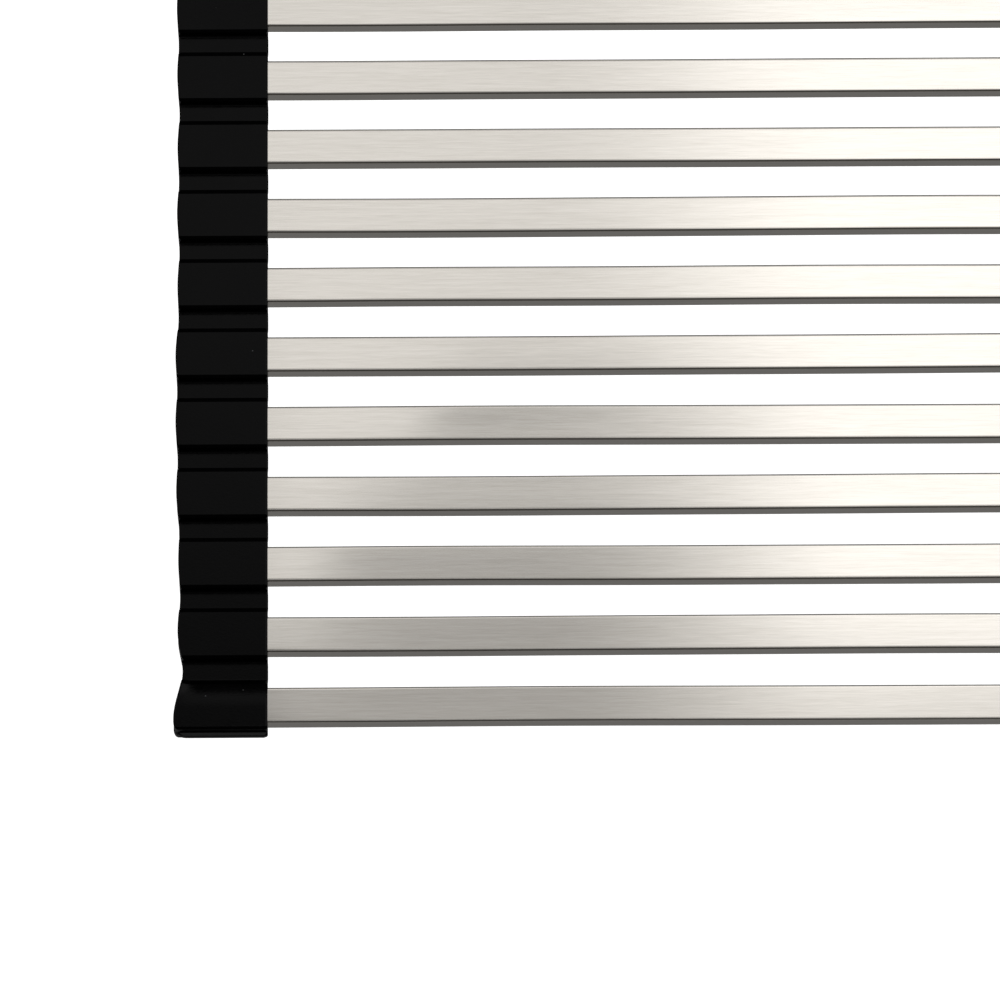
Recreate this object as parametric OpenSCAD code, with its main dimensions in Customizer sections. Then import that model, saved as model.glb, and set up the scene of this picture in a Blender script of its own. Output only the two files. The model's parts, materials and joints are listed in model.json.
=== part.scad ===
// Roll-up drying rack that lies across a sink.
// Rectangular steel tubes run along X. Each end of each tube sits in a silicone sleeve,
// and thin silicone webs join the sleeves into an end strip that bends between the bars.
// The origin is at the middle of the rack, on the surface that it lies on.

/* [Rack] */
// Number of steel bars
bar_count = 15; // [3:1:15]
// Distance from the middle of one bar to the middle of the next
bar_pitch = 20; // [18:0.5:26]
// Overall length, over both end strips
rack_length = 450; // [300:5:600]

/* [Bars] */
// Width of a bar
bar_width = 10; // [8:0.5:12]
// Height of a bar
bar_height = 5; // [4:0.5:6]
// Wall thickness of the tube that a bar is cut from
tube_wall = 0.5; // [0.4:0.1:0.8]
// Outer corner radius of the tube
bar_corner = 0.6; // [0.3:0.1:1]

/* [End strips] */
// Width of each end strip, along the bars
strip_width = 24; // [20:1:32]
// Silicone on each side of a bar
side_wall = 2.2; // [1.5:0.1:2.8]
// Silicone above a bar, and below it
cover_wall = 1.3; // [1:0.1:2]
// Silicone over the end of a bar
end_wall = 2; // [1:0.5:3]
// Radius of a sleeve's two upper edges
sleeve_top_corner = 1.5; // [0.8:0.1:2]
// Radius of a sleeve's two lower edges
sleeve_bottom_corner = 0.8; // [0.3:0.1:1]

/* [Webs] */
// Thickness of the web between two sleeves, halfway up them
web_thickness = 2; // [1.2:0.1:2.5]
// How far the web stands out past the first and last sleeves, as a lip
end_lip = 1; // [0.3:0.1:1.5]

/* [Hidden] */
steel = [0.83, 0.81, 0.78];
silicone = [0.07, 0.07, 0.08];
bar_length = rack_length - 2 * end_wall;
sleeve_width = bar_width + 2 * side_wall;
sleeve_height = bar_height + 2 * cover_wall;
web_length = bar_pitch - sleeve_width;
web_base = (sleeve_height - web_thickness) / 2;
strip_x = (rack_length - strip_width) / 2;
first_y = -(bar_count - 1) / 2 * bar_pitch;
// How far the lip is sunk into its sleeve, so that the two are one solid
lip_root = 2;
$fn = 48;

function two(n) = str(n < 10 ? "0" : "", n);
function bar_name(n) = str("bar_", two(n));
function left_name(n) = str("left_sleeve_", two(n));
function right_name(n) = str("right_sleeve_", two(n));
function web_name(n) = str("web_", two(n));
function bar_y(n) = first_y + (n - 1) * bar_pitch;

// Extrudes an outline, drawn in Y and Z, along X about the middle
module along_x(length) {
    rotate([90, 0, 90])
        linear_extrude(height = length, center = true)
            children();
}

// A rectangle standing on the Y axis, with one radius for its upper corners and one for its lower
module rounded_outline(width, height, top, bottom) {
    for (side = [-1, 1]) {
        translate([side * (width / 2 - top), height - top])
            circle(r = top);
        translate([side * (width / 2 - bottom), bottom])
            circle(r = bottom);
    }
    translate([-width / 2, bottom])
        square([width, height - top - bottom]);
    translate([-(width / 2 - bottom), 0])
        square([width - 2 * bottom, height / 2]);
    translate([-(width / 2 - top), height / 2])
        square([width - 2 * top, height / 2]);
}

module sleeve_outline() {
    rounded_outline(sleeve_width, sleeve_height, sleeve_top_corner, sleeve_bottom_corner);
}

module bar_outline() {
    translate([0, cover_wall])
        rounded_outline(bar_width, bar_height, bar_corner, bar_corner);
}

// The hollow of the tube, with square corners
module bore_outline() {
    translate([-bar_width / 2 + tube_wall, cover_wall + tube_wall])
        square([bar_width - 2 * tube_wall, bar_height - 2 * tube_wall]);
}

// A bar: a length of rectangular tube, open at both ends
module bar(n) {
    color(steel)
        translate([0, bar_y(n), 0])
            difference() {
                along_x(bar_length) bar_outline();
                along_x(bar_length + 2) bore_outline();
            }
}

// The strip's free edge past an end sleeve, on the side that direction gives
module lip(direction) {
    translate([
        -strip_width / 2,
        direction > 0 ? sleeve_width / 2 - lip_root : -sleeve_width / 2 - end_lip,
        web_base
    ])
        cube([strip_width, end_lip + lip_root, web_thickness]);
}

// A sleeve: a block with a blind pocket that holds one end of a bar. side is -1 on the left, 1 on the right
module sleeve(n, side) {
    color(silicone)
        translate([side * strip_x, bar_y(n), 0])
            difference() {
                union() {
                    along_x(strip_width) sleeve_outline();
                    if (n == 1) lip(-1);
                    if (n == bar_count) lip(1);
                }
                // The pocket runs out past the inner end of the sleeve
                translate([-side * end_wall, 0, 0])
                    along_x(strip_width) bar_outline();
            }
}

// The two webs behind a bar, one in each end strip, from its sleeves to the next ones
module web(n) {
    color(silicone)
        for (side = [-1, 1])
            translate([
                side * strip_x - strip_width / 2,
                bar_y(n) + sleeve_width / 2,
                web_base
            ])
                cube([strip_width, web_length, web_thickness]);
}

for (n = [1 : bar_count])
    bar(n);
for (n = [1 : bar_count])
    sleeve(n, -1);
for (n = [1 : bar_count])
    sleeve(n, 1);
for (n = [1 : bar_count - 1])
    web(n);
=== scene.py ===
import json
import math
import random

import bmesh
import bpy
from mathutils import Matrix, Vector

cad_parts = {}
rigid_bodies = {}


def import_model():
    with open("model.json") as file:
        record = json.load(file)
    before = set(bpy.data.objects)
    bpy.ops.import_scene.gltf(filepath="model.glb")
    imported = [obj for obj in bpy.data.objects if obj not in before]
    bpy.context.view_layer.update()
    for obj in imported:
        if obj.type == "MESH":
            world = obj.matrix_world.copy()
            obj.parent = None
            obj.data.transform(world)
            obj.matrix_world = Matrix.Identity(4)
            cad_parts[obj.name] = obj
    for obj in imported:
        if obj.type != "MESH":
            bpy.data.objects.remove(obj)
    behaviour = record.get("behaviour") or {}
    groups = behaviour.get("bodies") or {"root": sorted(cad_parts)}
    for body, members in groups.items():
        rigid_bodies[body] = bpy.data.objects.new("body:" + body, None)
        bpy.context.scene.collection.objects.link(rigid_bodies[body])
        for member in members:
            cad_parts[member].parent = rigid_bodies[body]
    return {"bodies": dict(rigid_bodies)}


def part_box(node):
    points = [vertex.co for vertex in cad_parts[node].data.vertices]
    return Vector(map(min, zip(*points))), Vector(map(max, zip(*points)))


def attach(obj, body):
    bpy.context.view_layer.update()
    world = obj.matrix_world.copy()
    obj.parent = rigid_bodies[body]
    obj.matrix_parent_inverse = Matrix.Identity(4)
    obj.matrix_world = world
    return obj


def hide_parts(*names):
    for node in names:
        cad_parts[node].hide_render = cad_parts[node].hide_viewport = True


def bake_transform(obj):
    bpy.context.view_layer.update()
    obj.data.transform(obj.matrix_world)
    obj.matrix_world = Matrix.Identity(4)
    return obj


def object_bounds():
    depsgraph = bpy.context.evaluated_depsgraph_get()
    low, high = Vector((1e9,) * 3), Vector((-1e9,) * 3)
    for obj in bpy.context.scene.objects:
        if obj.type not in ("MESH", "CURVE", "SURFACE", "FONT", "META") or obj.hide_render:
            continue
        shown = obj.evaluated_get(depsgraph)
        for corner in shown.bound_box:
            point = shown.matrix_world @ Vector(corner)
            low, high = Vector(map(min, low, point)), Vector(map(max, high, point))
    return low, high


# The looks of a roll-up drying rack: brushed steel tubes in two silicone end strips.
# Lengths are in metres, in the CAD frame. X runs along the bars and Z is up.
MM = 0.001
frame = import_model()
cad_low, cad_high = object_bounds()
BAR_COUNT = len(frame["bodies"])

# Steel tubes
TUBE_WALL = 0.5 * MM
BAR_CORNER = 0.75 * MM
BAR_CHAMFER = 0.12 * MM
LEAST_CORNER = 0.06 * MM
BAR_STATIONS = 76
# How far a tube strays from straight, up and sideways, and how far it twists, in waves this long
BOW = 0.04 * MM
SWAY = 0.10 * MM
TWIST = math.radians(0.15)
BAR_WAVES = (0.34, 0.19, 0.11)
BAR_SEED = 400

# Silicone sleeves
# The bevels along a sleeve's top, front and back: how far in and how far down each one goes
FRONT_BEVEL = (0.8 * MM, 0.5 * MM)
BACK_BEVEL = (1.35 * MM, 0.62 * MM)
CREASE = 0.25 * MM
BOTTOM_CORNER = 0.8 * MM
END_ROUNDING = 0.6 * MM
MOUTH_ROUNDING = 0.6 * MM
# How wide a sleeve's mouth stands off its bar at the face, and how tightly it closes on the bar behind that
MOUTH_FLARE = 0.30 * MM
MOUTH_LEDGE = 0.22 * MM
MOUTH_GRIP = 0.04 * MM
# Rings of the mesh along a sleeve, and between a rounding and the next flat
BODY_RINGS = 10
RING_GAP = 0.1 * MM
# How far a sleeve's outer end falls back at its two corners
END_CROWN = 0.02 * MM
# The lip past the first and last sleeves, and these sleeves' rounded corners in plan
LIP_CORNER = 0.25 * MM
LIP_FILLET = 0.15 * MM
LIP_SLOPE = 0.35 * MM
FREE_CORNER = 3.2 * MM
MOUTH_CORNER = 0.8 * MM
# How far the top of the first and last sleeves falls towards the web. The fall starts this far before
# the bar's middle, and it grows over this distance from the strip's outer edge
END_DIP = 1.7 * MM
DIP_START = 1 * MM
DIP_RUN = 2 * MM

# The strips' outer edges: they spread at the free ends and wander a little elsewhere
SPREAD = 1.2 * MM
SPREAD_START = 4 * MM
SPREAD_LENGTH = 14.5 * MM
SPREAD_FADE = 10 * MM
WANDER = 0.22 * MM
WANDER_WAVES = (0.11, 0.07, 0.043)
WANDER_START = 20 * MM
WANDER_SEED = 70
# They stand out a little at every sleeve and fall back at every web
SCALLOP = 0.22 * MM
# Away from the ends, the edges stand out by this much more
BELLY = 0.35 * MM
BELLY_START = 35 * MM
BELLY_LENGTH = 30 * MM

# Webs
WEB_SINK = 0.7 * MM
WEB_FILLET = 0.35 * MM
WEB_EDGE = 0.45 * MM
WEB_INSET = 0.02 * MM
WEB_OVERHANG = 0.1 * MM
WEB_STEPS = 32
# How far down a web's rounded edge goes, and how high its fillet climbs as a share of its run
WEB_EDGE_CUT = 0.98 * WEB_EDGE
FILLET_RISE = 0.9

# Colours, with the noise level that each shade stands at
STEEL_SHADES = [(0.30, (0.735, 0.697, 0.638)), (0.50, (0.790, 0.752, 0.694)), (0.70, (0.840, 0.802, 0.744))]
# Painted shade for the bars' rounded corners: a darker colour that stands in for the dark reflection along
# them
STEEL_CORNER_PAINTED_SHADE = (0.10, 0.092, 0.082, 1)
SILICONE_SHADES = [(0.35, (0.0002, 0.0002, 0.0003)), (0.65, (0.0013, 0.0012, 0.0014))]
DUST = (0.14, 0.14, 0.145, 1)

# Studio. Two cards lie level above the rack, and a panel stands in front and another behind
CARD_HEIGHT = 0.45
CARD_LEFT, CARD_RIGHT = -0.9, 1.1
CARD_FRONT, CARD_BACK = -0.19, 0.27
LIP_CARD_FRONT, LIP_CARD_BACK = -0.39, -0.225
LIP_CARD_GLOW = 2.0
PANEL_HALF_WIDTH = 1.1
PANEL_FOOT = -0.4
PANEL_GLOW = (0.40, 0.60)
FRONT_PANEL_Y, FRONT_PANEL_TOP = -1.0, 2.6
BACK_PANEL_Y, BACK_PANEL_TOP = 1.2, 1.6
# The floor lies lower than any bar of the rack when it drapes
FLOOR_DROP = 0.2
FLOOR_REACH = 14.0
WALL_FOOT, WALL_TOP = -1.0, 10.0
WALL_SIDES = 48
FLOOR_GLOW = 0.95


def two(n):
    return f"{n:02d}"


def smoothstep(t):
    t = max(0.0, min(1.0, t))
    return t * t * (3 - 2 * t)


def quarter_round(radius, steps=6):
    """(distance from the end, inset) along a quarter round that starts on the end face."""
    turns = [math.pi / 2 * k / steps for k in range(steps + 1)]
    return [(radius * (1 - math.cos(a)), radius * (1 - math.sin(a))) for a in turns]


# ---------------------------------------------------------------- outlines and meshes


def rounded_outline(corners, splits, steps=6, support=0.1 * MM):
    """Points of a closed outline, whose corners are (across, up, radius), counter-clockwise.
    An arc replaces each corner. One point beside each end of the arc keeps the flats flat,
    and splits says how many more points lie on the straight stretch after each corner."""
    points = []
    count = len(corners)
    arcs = []
    for k in range(count):
        here = Vector(corners[k][:2])
        to_last = (Vector(corners[k - 1][:2]) - here).normalized()
        to_next = (Vector(corners[(k + 1) % count][:2]) - here).normalized()
        half = math.acos(max(-1.0, min(1.0, to_last.dot(to_next)))) / 2
        arc = []
        if half > math.radians(89):
            # A corner on a straight line becomes a short row of points, as many as an arc has
            for step in range(steps + 3):
                arc.append(here + to_next * support * 0.2 * (step - steps / 2 - 1))
            arcs.append(arc)
            continue
        radius = corners[k][2]
        reach = radius / math.tan(half)
        centre = here + (to_last + to_next).normalized() * (radius / math.sin(half))
        first = here + to_last * reach - centre
        sweep = math.pi - 2 * half
        turn = 1 if to_last.cross(to_next) < 0 else -1
        arc.append(here + to_last * (reach + support))
        for step in range(steps + 1):
            angle = turn * sweep * step / steps
            cosine, sine = math.cos(angle), math.sin(angle)
            turned = (first.x * cosine - first.y * sine, first.x * sine + first.y * cosine)
            arc.append(centre + Vector(turned))
        arc.append(here + to_next * (reach + support))
        arcs.append(arc)
    for k in range(count):
        points += arcs[k]
        start, end = arcs[k][-1], arcs[(k + 1) % count][0]
        for step in range(1, splits[k] + 1):
            points.append(start.lerp(end, step / (splits[k] + 1)))
    return points


def inset(corners, depth):
    """The corners moved inwards by depth, square to both of their sides."""
    moved = []
    count = len(corners)
    for k in range(count):
        here = Vector(corners[k][:2])
        along_last = (here - Vector(corners[k - 1][:2])).normalized()
        along_next = (Vector(corners[(k + 1) % count][:2]) - here).normalized()
        normal_last = Vector((-along_last.y, along_last.x))
        normal_next = Vector((-along_next.y, along_next.x))
        shift = (normal_last + normal_next) * (depth / (1 + normal_last.dot(normal_next)))
        convex = along_last.cross(along_next) > 0
        radius = corners[k][2] - depth if convex else corners[k][2] + depth
        moved.append((here.x + shift.x, here.y + shift.y, max(radius, LEAST_CORNER)))
    return moved


def new_mesh(name, vertices, faces, uvs=None):
    mesh = bpy.data.meshes.new(name)
    mesh.from_pydata(vertices, [], faces)
    mesh.polygons.foreach_set("use_smooth", [True] * len(mesh.polygons))
    if uvs:
        layer = mesh.uv_layers.new(name="grain")
        layer.data.foreach_set("uv", [value for face in uvs for corner in face for value in corner])
    mesh.update()
    work = bmesh.new()
    work.from_mesh(mesh)
    bmesh.ops.recalc_face_normals(work, faces=work.faces)
    work.to_mesh(mesh)
    work.free()
    piece = bpy.data.objects.new(name, mesh)
    bpy.context.scene.collection.objects.link(piece)
    return piece


def loft(name, rings, closed=False):
    """Faces between each ring of points and the next. The first and last ring close on a middle point,
    unless the last ring leads back to the first. The UV map's U runs round the ring and its V along X."""
    size = len(rings[0])
    vertices = [p for points in rings for p in points]
    faces, uvs = [], []
    around = [0.0]
    for k in range(size):
        step = Vector(rings[-1][(k + 1) % size]) - Vector(rings[-1][k])
        around.append(around[-1] + step.length)
    for r in range(len(rings) if closed else len(rings) - 1):
        s = (r + 1) % len(rings)
        for k in range(size):
            m = (k + 1) % size
            faces.append((r * size + k, r * size + m, s * size + m, s * size + k))
            near, far = rings[r][k][0], rings[s][k][0]
            uvs.append(((around[k], near), (around[k + 1], near), (around[k + 1], far), (around[k], far)))
    if not closed:
        for r in (0, len(rings) - 1):
            middle = sum((Vector(p) for p in rings[r]), Vector()) / size
            vertices.append(tuple(middle))
            for k in range(size):
                faces.append((r * size + k, r * size + (k + 1) % size, len(vertices) - 1))
                uvs.append(((around[k], middle.x), (around[k + 1], middle.x), (around[k], middle.x)))
    return new_mesh(name, vertices, faces, uvs)


def finish_piece(piece, material, slot, *nodes):
    piece.data.materials.append(material)
    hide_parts(*nodes)


def waves(draw, wavelengths):
    """A smooth random curve, as a function of one length. Its first wave is 1 high."""
    terms = [(2 * math.pi / w, draw.uniform(0, 2 * math.pi), w / wavelengths[0]) for w in wavelengths]
    return lambda x: sum(size * math.sin(pace * x + phase) for pace, phase, size in terms)


# ---------------------------------------------------------------- materials


class Nodes:
    """Adds nodes to a material or world and links them."""

    def __init__(self, tree):
        self.tree = tree

    def add(self, kind, **settings):
        node = self.tree.nodes.new(kind)
        for key, value in settings.items():
            setattr(node, key, value)
        return node

    def link(self, source, target):
        self.tree.links.new(source, target)

    def place(self, output="Object"):
        return self.add("ShaderNodeTexCoord").outputs[output]

    def split(self, vector):
        node = self.add("ShaderNodeSeparateXYZ")
        self.link(vector, node.inputs["Vector"])
        return node.outputs["X"], node.outputs["Y"], node.outputs["Z"]

    def noise(self, vector, scale, detail=2.0, roughness=0.5):
        node = self.add("ShaderNodeTexNoise")
        node.inputs["Scale"].default_value = scale
        node.inputs["Detail"].default_value = detail
        node.inputs["Roughness"].default_value = roughness
        self.link(vector, node.inputs["Vector"])
        return node.outputs["Fac"]

    def stretched(self, vector, along, across):
        node = self.add("ShaderNodeMapping")
        node.inputs["Scale"].default_value = (along, across, across)
        self.link(vector, node.inputs["Vector"])
        return node.outputs["Vector"]

    def fit(self, value, low, high, new_low, new_high, smooth=False):
        node = self.add("ShaderNodeMapRange", interpolation_type="SMOOTHSTEP" if smooth else "LINEAR")
        names = ("From Min", "From Max", "To Min", "To Max")
        for name, number in zip(names, (low, high, new_low, new_high)):
            node.inputs[name].default_value = number
        self.link(value, node.inputs["Value"])
        return node.outputs["Result"]

    def apart(self, value, centre):
        """How far a value is from a fixed one."""
        return self.math("ABSOLUTE", self.math("SUBTRACT", value, centre), 0.0)

    def math(self, operation, a, b):
        node = self.add("ShaderNodeMath", operation=operation)
        for socket, value in zip(node.inputs, (a, b)):
            if isinstance(value, (int, float)):
                socket.default_value = value
            else:
                self.link(value, socket)
        return node.outputs["Value"]

    def ramp(self, value, stops):
        node = self.add("ShaderNodeValToRGB")
        elements = node.color_ramp.elements
        while len(elements) < len(stops):
            elements.new(0.5)
        for element, (position, colour) in zip(elements, stops):
            element.position = position
            element.color = (*colour, 1.0)
        self.link(value, node.inputs["Fac"])
        return node.outputs["Color"]

    def bump(self, height, strength, distance, shader):
        node = self.add("ShaderNodeBump")
        node.inputs["Strength"].default_value = strength
        node.inputs["Distance"].default_value = distance
        self.link(height, node.inputs["Height"])
        self.link(node.outputs["Normal"], shader.inputs["Normal"])


def new_material(name):
    material = bpy.data.materials.new(name)
    material.use_nodes = True
    return material, Nodes(material.node_tree), material.node_tree.nodes["Principled BSDF"]


def brushed_steel():
    """Stainless tube, brushed along its length. Its rounded corners carry painted shade: a darker colour
    that stands in for the dark reflection along them.
    """
    material, nodes, shader = new_material("brushed_steel")
    place = nodes.place()
    # Fine and coarse brush marks, and larger clouds. The scales are per metre, along the bar and across it
    hairs = nodes.noise(nodes.stretched(place, 190, 4200), 1.0, detail=3)
    strokes = nodes.noise(nodes.stretched(place, 60, 1500), 1.0, detail=2)
    clouds = nodes.noise(nodes.stretched(place, 14, 130), 1.0, detail=2)
    mixed = nodes.math("ADD", nodes.math("MULTIPLY", hairs, 0.5), nodes.math("MULTIPLY", strokes, 0.5))
    shades = nodes.ramp(mixed, STEEL_SHADES)
    # A flat's normal lies along one axis, and a rounded corner's lies between two. The rounded corners get
    # painted shade, a darker colour that stands in for the dark reflection along them
    facing = [nodes.math("ABSOLUTE", part, 0.0) for part in nodes.split(nodes.place("Normal"))]
    squarest = nodes.math("MAXIMUM", nodes.math("MAXIMUM", facing[0], facing[1]), facing[2])
    corner_painted_shade = nodes.add("ShaderNodeMix", data_type="RGBA")
    nodes.link(nodes.fit(squarest, 0.87, 0.93, 1.0, 0.0), corner_painted_shade.inputs["Factor"])
    nodes.link(shades, corner_painted_shade.inputs["A"])
    corner_painted_shade.inputs["B"].default_value = STEEL_CORNER_PAINTED_SHADE
    nodes.link(corner_painted_shade.outputs["Result"], shader.inputs["Base Color"])
    nodes.link(nodes.fit(clouds, 0.3, 0.7, 0.085, 0.125), shader.inputs["Roughness"])
    shader.inputs["Metallic"].default_value = 1.0
    shader.inputs["Anisotropic"].default_value = 0.7
    tangent = nodes.add("ShaderNodeTangent", direction_type="UV_MAP", uv_map="grain")
    nodes.link(tangent.outputs["Tangent"], shader.inputs["Tangent"])
    nodes.bump(mixed, 0.12, 0.00002, shader)
    return material


def moulded_silicone():
    """Matt black silicone with a fine grain and a few specks of dust."""
    material, nodes, shader = new_material("moulded_silicone")
    place = nodes.place()
    grain = nodes.noise(place, 1900, detail=3, roughness=0.6)
    clouds = nodes.noise(place, 90, detail=2)
    mottle = nodes.math("ADD", nodes.math("MULTIPLY", clouds, 0.35), nodes.math("MULTIPLY", grain, 0.65))
    shades = nodes.ramp(mottle, SILICONE_SHADES)
    dust = nodes.add("ShaderNodeTexVoronoi")
    dust.inputs["Scale"].default_value = 400
    nodes.link(place, dust.inputs["Vector"])
    near = nodes.fit(dust.outputs["Distance"], 0.04, 0.09, 1.0, 0.0)
    chance, _, _ = nodes.split(dust.outputs["Color"])
    speck = nodes.math("MULTIPLY", near, nodes.math("GREATER_THAN", chance, 0.97))
    dusty = nodes.add("ShaderNodeMix", data_type="RGBA")
    nodes.link(speck, dusty.inputs["Factor"])
    nodes.link(shades, dusty.inputs["A"])
    dusty.inputs["B"].default_value = DUST
    nodes.link(dusty.outputs["Result"], shader.inputs["Base Color"])
    nodes.link(nodes.fit(grain, 0.3, 0.7, 0.15, 0.25), shader.inputs["Roughness"])
    shader.inputs["Specular IOR Level"].default_value = 0.09
    nodes.bump(grain, 0.4, 0.00008, shader)
    return material


# ---------------------------------------------------------------- steel bars


def bar_corners(half_width, low_z, high_z):
    return [
        (-half_width, low_z, BAR_CORNER),
        (half_width, low_z, BAR_CORNER),
        (half_width, high_z, BAR_CORNER),
        (-half_width, high_z, BAR_CORNER),
    ]


def steel_bar(n, material):
    name = "bar_" + two(n)
    low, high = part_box(name)
    draw = random.Random(BAR_SEED + n)
    bow, sway, twist = (waves(draw, BAR_WAVES) for _ in range(3))
    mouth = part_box("right_sleeve_" + two(n))[0].x
    corners = bar_corners((high.y - low.y) / 2, low.z, high.z)
    middle = Vector(((low.y + high.y) / 2, (low.z + high.z) / 2))

    def section(x, depth):
        """The tube's outline at x, inset by depth. It is true to the CAD inside the sleeves."""
        free = 1 - min(1.0, abs(x) / mouth) ** 6
        angle = TWIST * twist(x) * free
        points = []
        for p in rounded_outline(inset(corners, depth), (4, 1, 4, 1)):
            across, up = p.x, p.y - middle.y
            y = middle.x + across * math.cos(angle) - up * math.sin(angle) + SWAY * sway(x) * free
            z = middle.y + across * math.sin(angle) + up * math.cos(angle) + BOW * bow(x) * free
            points.append((x, y, z))
        return points

    # Out along the outside and back along the inside, which needs fewer rings
    start, end = low.x + BAR_CHAMFER, high.x - BAR_CHAMFER
    stations = [start + (end - start) * k / BAR_STATIONS for k in range(BAR_STATIONS + 1)]
    rings = [section(low.x, BAR_CHAMFER)]
    rings += [section(x, 0) for x in stations]
    rings += [section(high.x, BAR_CHAMFER), section(high.x, TUBE_WALL)]
    rings += [section(x, TUBE_WALL) for x in reversed(stations[4:-4:4])]
    rings += [section(low.x, TUBE_WALL)]
    piece = loft("steel_bar_" + two(n), rings, closed=True)
    finish_piece(piece, material, "steel", name)
    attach(piece, "rung_" + two(n))
    return piece


# ---------------------------------------------------------------- silicone end strips


def strip_edge(side):
    """How far a strip's outer edge stands out from the CAD's, as a function of y."""
    wander = waves(random.Random(WANDER_SEED + side), WANDER_WAVES)
    first_bar, second_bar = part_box("bar_01")[0].y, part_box("bar_02")[0].y
    pitch = second_bar - first_bar

    def stands_out(y):
        from_end = min(y - cad_low.y, cad_high.y - y)
        turn = (from_end - SPREAD_START) / SPREAD_LENGTH
        if turn < 1:
            spread = SPREAD * math.cos(math.pi * max(0.0, turn))
        else:
            spread = -SPREAD * (1 - smoothstep((turn - 1) * SPREAD_LENGTH / SPREAD_FADE))
        belly = BELLY * smoothstep((from_end - BELLY_START) / BELLY_LENGTH)
        scallop = SCALLOP * math.cos(2 * math.pi * y / pitch)
        away = smoothstep((from_end - WANDER_START) / WANDER_START)
        return spread + belly + (scallop + WANDER * wander(y)) * away

    return stands_out


def corner_cut(from_end, radius):
    """How far a rounded corner in plan falls back at this distance from the free end."""
    into = max(0.0, radius - from_end)
    return radius - math.sqrt(max(0.0, radius ** 2 - min(into, radius) ** 2))


def sleeve(n, side, stands_out, material):
    """One sleeve of an end strip. It is drawn with its free side, if it has one, towards -across."""
    side_name = "left" if side < 0 else "right"
    name = f"{side_name}_sleeve_{two(n)}"
    low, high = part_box(name)
    bar_low, bar_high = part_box("bar_" + two(n))
    at_end = n in (1, BAR_COUNT)
    flip = -1 if n == BAR_COUNT else 1
    centre = (bar_low.y + bar_high.y) / 2
    half_bar = (bar_high.y - bar_low.y) / 2
    # From the bar's middle to the lip's end, and to the sleeve's own walls
    lip = max(high.y - centre, centre - low.y)
    wall = min(high.y - centre, centre - low.y) if at_end else lip
    length = high.x - low.x
    end_wall = cad_high.x - bar_high.x
    lip_low, lip_high = (corner.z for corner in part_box("web_01"))
    (run, drop), (free_run, free_drop) = (BACK_BEVEL, FRONT_BEVEL)[::flip]
    corners = [
        (-wall, low.z, BOTTOM_CORNER),
        (wall, low.z, BOTTOM_CORNER),
        (wall, high.z - drop, CREASE),
        (wall - run, high.z, CREASE),
        (-wall + free_run, high.z, CREASE),
        (-wall, high.z - free_drop, CREASE),
    ]
    # The pocket's outline has a point on its straight sides for every further corner of the skin's
    pocket = bar_corners(half_bar, bar_low.z, bar_high.z)
    pocket.insert(2, (half_bar, bar_high.z - 1 * MM, 0))
    pocket.append((-half_bar, bar_high.z - 1 * MM, 0))
    splits = [8, 1, 1, 8, 1, 1]
    if at_end:
        corners += [
            (-wall, lip_high, LIP_FILLET),
            (-lip, lip_high - LIP_SLOPE, LIP_CORNER),
            (-lip, lip_low, LIP_CORNER),
            (-wall, lip_low, LIP_FILLET),
        ]
        pocket += [(-half_bar, bar_high.z - k * MM, 0) for k in (1.7, 2.4, 3.1, 3.8)]
        splits = [24, 1, 1, 24] + [1] * 6

    def section(depth, outline, skin=True):
        """A ring at a depth from the strip's outer edge, in the frame. Only the skin is reshaped."""
        points = []
        for p in outline:
            across, z = p.x, p.y
            y = centre + flip * across
            to_outer = smoothstep(1 - depth / (length / 2))
            to_mouth = smoothstep(depth / (length / 2) - 1)
            out = stands_out(y) - END_CROWN * min(1.0, abs(across) / wall) ** 4
            out = out * to_outer
            if at_end and skin:
                out -= corner_cut(across + lip, FREE_CORNER) * to_outer
                out += corner_cut(across + lip, MOUTH_CORNER) * to_mouth
                fall = END_DIP * (max(0.0, across + DIP_START) / (wall + DIP_START)) ** 2
                near_top = smoothstep((z - bar_low.z) / (high.z - bar_low.z))
                z -= fall * near_top * smoothstep(depth / DIP_RUN)
            points.append((side * (cad_high.x - depth + out), y, z))
        return points

    def skin(depth, inwards=0.0):
        return section(depth, rounded_outline(inset(corners, inwards), splits))

    def hollow(depth, inwards):
        return section(depth, rounded_outline(inset(pocket, inwards), splits), skin=False)

    face = skin(0.0, END_ROUNDING)
    middle = sum((Vector(p) for p in face), Vector()) / len(face)
    rings = []
    for share in (0.25, 0.5, 0.75, 0.97):
        rings.append([tuple(middle.lerp(Vector(p), share)) for p in face])
    rings += [skin(depth, inwards) for depth, inwards in quarter_round(END_ROUNDING)]
    body_end = length - MOUTH_ROUNDING
    for step in range(BODY_RINGS + 1):
        along = (body_end - END_ROUNDING - 2 * RING_GAP) * step / BODY_RINGS
        rings.append(skin(END_ROUNDING + RING_GAP + along))
    for depth, inwards in reversed(quarter_round(MOUTH_ROUNDING)):
        rings.append(skin(length - depth, inwards))
    rings.append(skin(length, MOUTH_ROUNDING + RING_GAP))
    rings += [hollow(length, -MOUTH_FLARE), hollow(length, -MOUTH_LEDGE)]
    rings += [hollow(length - 0.06 * MM, -0.06 * MM), hollow(length - 0.2 * MM, MOUTH_GRIP)]
    rings += [hollow(end_wall, MOUTH_GRIP), hollow(end_wall - 0.02 * MM, 0.3 * MM)]
    piece = loft(f"silicone_{side_name}_sleeve_{two(n)}", rings)
    finish_piece(piece, material, "silicone", name)
    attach(piece, "rung_" + two(n))
    return piece


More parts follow.
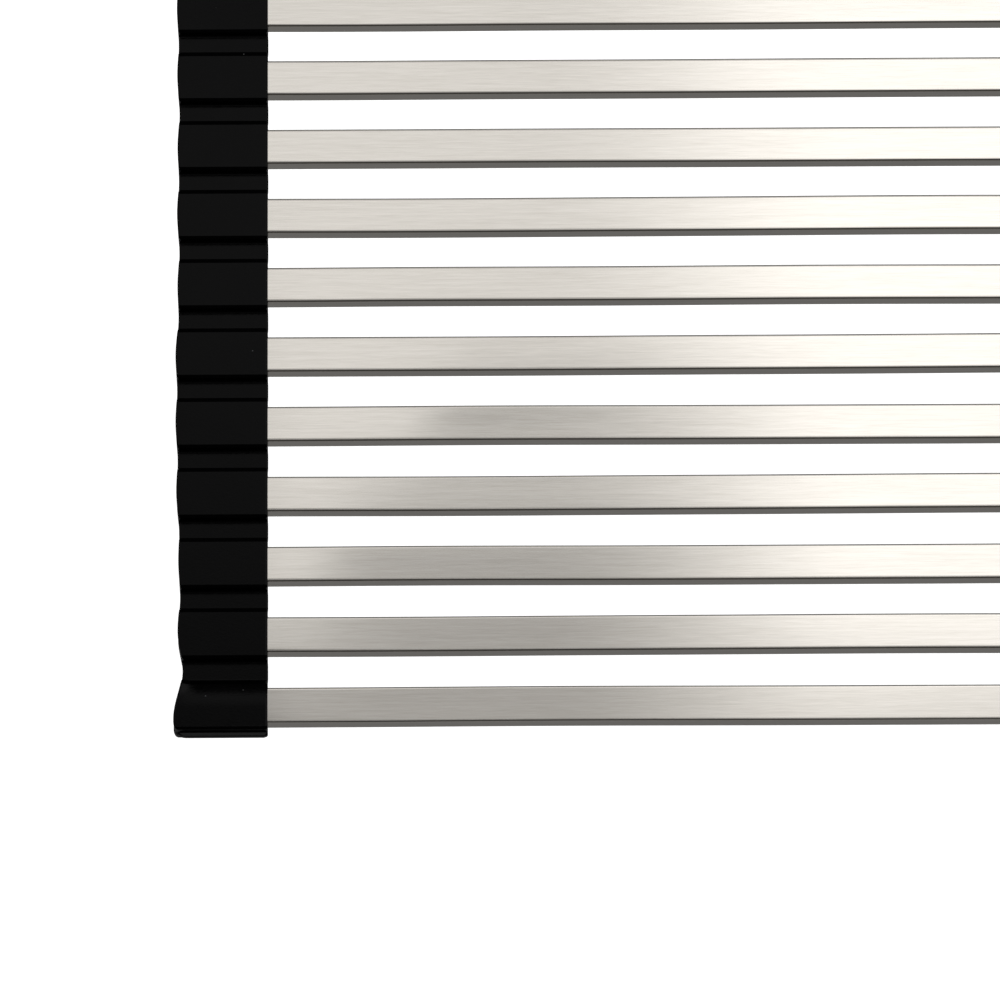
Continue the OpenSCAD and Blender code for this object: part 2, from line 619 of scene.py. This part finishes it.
def web_rows(side, stands_out, low, high, inner_x):
    """Points over and under one web, in rows that run in Y. Each row has its place between the edges."""
    middle = (low.y + high.y) / 2
    half = (high.y - low.y) / 2
    edge = [(distance, min(cut, WEB_EDGE_CUT)) for distance, cut in quarter_round(WEB_EDGE, 5)]
    edge.append((WEB_EDGE + RING_GAP, 0.0))
    places = [(0, distance, cut) for distance, cut in edge]
    places += [(k / 8, 0.0, 0.0) for k in range(1, 8)]
    places += [(1, distance, cut) for distance, cut in reversed(edge)]
    rows = []
    for share, distance, cut in places:
        over, under = [], []
        for step in range(WEB_STEPS + 1):
            across = (step / WEB_STEPS * 2 - 1) * (half + WEB_SINK)
            y = middle + across
            open_part = 1 - min(1.0, abs(across) / half) ** 8
            outer = cad_high.x + stands_out(y) - WEB_INSET * open_part - distance * (share == 0)
            inner = inner_x - WEB_OVERHANG * open_part + distance * (share == 1)
            into_fillet = WEB_FILLET - max(0.0, half - abs(across))
            rise = 0.0
            if into_fillet > 0:
                rise = WEB_FILLET - math.sqrt(WEB_FILLET ** 2 - into_fillet ** 2)
            x = outer + (inner - outer) * share
            over.append((side * x, y, high.z - cut + rise * FILLET_RISE))
            under.append((side * x, y, low.z + cut - rise * FILLET_RISE))
        rows.append((over, under))
    return rows


def add_shell(vertices, faces, rows):
    """Adds a closed shell over the rows' upper and lower points."""
    base, width = len(vertices), len(rows[0][0])
    for over, under in rows:
        vertices += over + under

    def at(row, k, under):
        return base + (2 * row + under) * width + k

    for row in range(len(rows) - 1):
        for k in range(width - 1):
            for under in (0, 1):
                corners = (at(row, k, under), at(row, k + 1, under))
                faces.append(corners + (at(row + 1, k + 1, under), at(row + 1, k, under)))
        for k in (0, width - 1):
            faces.append((at(row, k, 0), at(row + 1, k, 0), at(row + 1, k, 1), at(row, k, 1)))
    for row in (0, len(rows) - 1):
        for k in range(width - 1):
            faces.append((at(row, k, 0), at(row, k + 1, 0), at(row, k + 1, 1), at(row, k, 1)))


def web(n, edges, material):
    """Both webs between two bars, in one mesh."""
    name = "web_" + two(n)
    low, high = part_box(name)
    inner_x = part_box("right_sleeve_" + two(n))[0].x
    vertices, faces = [], []
    for side in (-1, 1):
        add_shell(vertices, faces, web_rows(side, edges[side], low, high, inner_x))
    piece = new_mesh("silicone_web_" + two(n), vertices, faces)
    finish_piece(piece, material, "silicone", name)
    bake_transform(piece)


# ---------------------------------------------------------------- studio


def stage_mesh(name, points, faces, material):
    mesh = bpy.data.meshes.new(name)
    mesh.from_pydata(points, [], faces)
    mesh.materials.append(material)
    thing = bpy.data.objects.new(name, mesh)
    bpy.context.scene.collection.objects.link(thing)
    return thing


def emitter(name, see_through=False):
    """A glowing material, its nodes, and the socket for its strength."""
    material = bpy.data.materials.new(name)
    material.use_nodes = True
    material.node_tree.nodes.clear()
    nodes = Nodes(material.node_tree)
    glow = nodes.add("ShaderNodeEmission")
    output = nodes.add("ShaderNodeOutputMaterial")
    surface = glow.outputs["Emission"]
    if see_through:
        both = nodes.add("ShaderNodeAddShader")
        nodes.link(surface, both.inputs[0])
        nodes.link(nodes.add("ShaderNodeBsdfTransparent").outputs["BSDF"], both.inputs[1])
        surface = both.outputs["Shader"]
    nodes.link(surface, output.inputs["Surface"])
    return material, nodes, glow.inputs["Strength"]


def light_only(light, pieces):
    """Only these pieces mirror the light, and nothing else sees it."""
    light.visible_camera = False
    light.visible_diffuse = False
    light.visible_shadow = False
    light.light_linking.receiver_collection = pieces


def level_card(name, front, back, material):
    """A card above the rack, which faces down."""
    corners = [(CARD_LEFT, front), (CARD_RIGHT, front), (CARD_RIGHT, back), (CARD_LEFT, back)]
    points = [(x, y, CARD_HEIGHT) for x, y in corners]
    return stage_mesh(name, points, [(0, 3, 2, 1)], material)


def light_card():
    """A glowing card above the rack. It brightens to the right, and has a grey patch in front."""
    # The grey patch: its slanted left edge and its back edge
    slant, left_edge, back_edge = 0.69, (-0.239, -0.223), (0.112, 0.124)
    # A bright gap and a bright streak that cross it
    gap_y, gap_edge, gap_level = 0.084, (0.006, 0.012), 0.32
    streak_y, streak_edge, streak_end, streak_level = 0.039, (0.005, 0.013), (-0.205, -0.165), 0.6
    # From left to right the card brightens and the patch fades
    brighter, glows, patch_depths = (-0.125, -0.03), (0.88, 1.38), (0.48, 0.04)
    # The card is dimmer along its front, on the right, and at its front left corner
    front_edge, front_depth = (0.016, 0.036), 0.33
    corner_edge, corner_back, corner_depth = (-0.23, -0.20), 0.19, 0.5

    material, nodes, strength = emitter("light_card")
    x, y, _ = nodes.split(nodes.place())
    slanted = nodes.math("SUBTRACT", x, nodes.math("MULTIPLY", y, slant))
    past_edge = nodes.fit(slanted, *left_edge, 0.0, 1.0, smooth=True)
    in_front = nodes.fit(y, *back_edge, 1.0, 0.0, smooth=True)
    gap = nodes.fit(nodes.apart(y, gap_y), *gap_edge, gap_level, 1.0, smooth=True)
    near_streak = nodes.fit(nodes.apart(y, streak_y), *streak_edge, 1.0, 0.0, smooth=True)
    streak = nodes.math("MULTIPLY", near_streak, nodes.fit(x, *streak_end, streak_level, 0.0))
    patch = nodes.math("MULTIPLY", nodes.math("MULTIPLY", past_edge, in_front), gap)
    patch = nodes.math("MULTIPLY", patch, nodes.math("SUBTRACT", 1.0, streak))
    brightening = nodes.fit(x, *brighter, 0.0, 1.0, smooth=True)
    base = nodes.fit(brightening, 0.0, 1.0, *glows)
    fade = nodes.fit(brightening, 0.0, 1.0, *patch_depths)
    near_front = nodes.fit(y, *front_edge, front_depth, 0.0)
    dimmed = nodes.math("SUBTRACT", 1.0, nodes.math("MULTIPLY", patch, fade))
    dimmed = nodes.math("SUBTRACT", dimmed, nodes.math("MULTIPLY", near_front, brightening))
    at_left = nodes.fit(x, *corner_edge, 1.0, 0.0)
    corner = nodes.math("MULTIPLY", at_left, nodes.fit(y, 0.0, corner_back, corner_depth, 0.0))
    dimmed = nodes.math("SUBTRACT", dimmed, corner)
    nodes.link(nodes.math("MULTIPLY", base, dimmed), strength)
    card = level_card("light_card", CARD_FRONT, CARD_BACK, material)
    card.visible_camera = False


def side_panel(name, y, top, steel_pieces):
    """An upright panel for the steel, brightest at its top and to the right."""
    material, nodes, strength = emitter(name, see_through=True)
    x, _, z = nodes.split(nodes.place())
    glow = nodes.fit(z, 0.0, top, *PANEL_GLOW)
    to_right = nodes.fit(x, -0.5, 0.5, 0.8, 1.25, smooth=True)
    nodes.link(nodes.math("MULTIPLY", glow, to_right), strength)
    left, right = -PANEL_HALF_WIDTH, PANEL_HALF_WIDTH
    points = [(left, y, PANEL_FOOT), (right, y, PANEL_FOOT), (right, y, top), (left, y, top)]
    panel = stage_mesh(name, points, [(0, 1, 2, 3)], material)
    light_only(panel, steel_pieces)


def lip_card(lip_pieces):
    """A narrow card above and in front of the rack, for the lip at its front end."""
    material, _, strength = emitter("lip_card", see_through=True)
    strength.default_value = LIP_CARD_GLOW
    card = level_card("lip_card", LIP_CARD_FRONT, LIP_CARD_BACK, material)
    light_only(card, lip_pieces)


def surroundings():
    """Soft light from above and from the sides, dim behind and dark in front."""
    world = bpy.data.worlds.new("studio")
    bpy.context.scene.world = world
    world.use_nodes = True
    world.node_tree.nodes.clear()
    nodes = Nodes(world.node_tree)
    _, y, z = nodes.split(nodes.place("Generated"))
    # The light grows upwards, in two steps
    low = nodes.fit(z, -0.25, 0.0, 0.20, 0.35, smooth=True)
    high = nodes.fit(z, 0.0, 0.7, 0.0, 0.30, smooth=True)
    # Above the horizon it is dimmer behind and in front
    behind = nodes.fit(y, 0.5, 0.65, 1.0, 0.07, smooth=True)
    in_front = nodes.fit(y, -0.25, -0.05, 0.04, 1.0, smooth=True)
    above = nodes.math("MULTIPLY", behind, in_front)
    below = nodes.fit(z, -0.3, -0.2, 1.0, 0.0)
    background = nodes.add("ShaderNodeBackground")
    strength = nodes.math("MULTIPLY", nodes.math("ADD", low, high), nodes.math("MAXIMUM", above, below))
    nodes.link(strength, background.inputs["Strength"])
    output = nodes.add("ShaderNodeOutputWorld")
    nodes.link(background.outputs["Background"], output.inputs["Surface"])


def pale(name, glow):
    """Matt white that glows a little, so that it shows no shadow."""
    material, _, shader = new_material(name)
    shader.inputs["Base Color"].default_value = (0.86, 0.86, 0.86, 1)
    shader.inputs["Roughness"].default_value = 0.9
    shader.inputs["Specular IOR Level"].default_value = 0.2
    shader.inputs["Emission Color"].default_value = (1, 1, 1, 1)
    shader.inputs["Emission Strength"].default_value = glow
    return material


def floor_and_backdrop():
    """A wide white floor and a round white wall, which the rack doesn't mirror."""
    reach, sides = FLOOR_REACH, WALL_SIDES
    level = cad_low.z - FLOOR_DROP
    corners = [(-reach, -reach), (reach, -reach), (reach, reach), (-reach, reach)]
    points = [(x, y, level) for x, y in corners]
    floor = stage_mesh("floor", points, [(0, 1, 2, 3)], pale("pale_floor", FLOOR_GLOW))
    turns = [2 * math.pi * k / sides for k in range(sides)]
    points = [(reach * math.cos(a), reach * math.sin(a), z) for z in (WALL_FOOT, WALL_TOP) for a in turns]
    faces = [(k, (k + 1) % sides, sides + (k + 1) % sides, sides + k) for k in range(sides)]
    wall = stage_mesh("backdrop", points, faces, pale("pale_backdrop", FLOOR_GLOW))
    for thing in (floor, wall):
        thing.visible_glossy = False
        thing.visible_diffuse = False
    wall.visible_shadow = False


def camera():
    """Above the front left of the rack, looking down at 70 degrees."""
    target = Vector((cad_low.x + 86.3 * MM, cad_low.y + 68.3 * MM, 0.0))
    distance, elevation, roll = 4.0, math.radians(70), math.radians(0.3)
    data = bpy.data.cameras.new("camera")
    data.lens = 536
    data.sensor_width = 36
    data.clip_start, data.clip_end = 0.05, 100
    holder = bpy.data.objects.new("camera", data)
    back = Vector((0, -math.cos(elevation), math.sin(elevation)))
    holder.location = target + back * distance
    holder.rotation_euler = (math.pi / 2 - elevation, 0, 0)
    holder.rotation_euler.rotate_axis("Z", -roll)
    bpy.context.scene.collection.objects.link(holder)
    bpy.context.scene.camera = holder


steel = brushed_steel()
silicone = moulded_silicone()
strip_edges = {side: strip_edge(side) for side in (-1, 1)}
steel_pieces = bpy.data.collections.new("steel_pieces")
lip_pieces = bpy.data.collections.new("lip_pieces")
for number in range(1, BAR_COUNT + 1):
    steel_pieces.objects.link(steel_bar(number, steel))
    for side in (-1, 1):
        piece = sleeve(number, side, strip_edges[side], silicone)
        if number == 1:
            lip_pieces.objects.link(piece)
for number in range(1, BAR_COUNT):
    web(number, strip_edges, silicone)
light_card()
side_panel("front_panel", FRONT_PANEL_Y, FRONT_PANEL_TOP, steel_pieces)
side_panel("back_panel", BACK_PANEL_Y, BACK_PANEL_TOP, steel_pieces)
lip_card(lip_pieces)
surroundings()
floor_and_backdrop()
camera()
bpy.context.scene.view_settings.view_transform = "Standard"
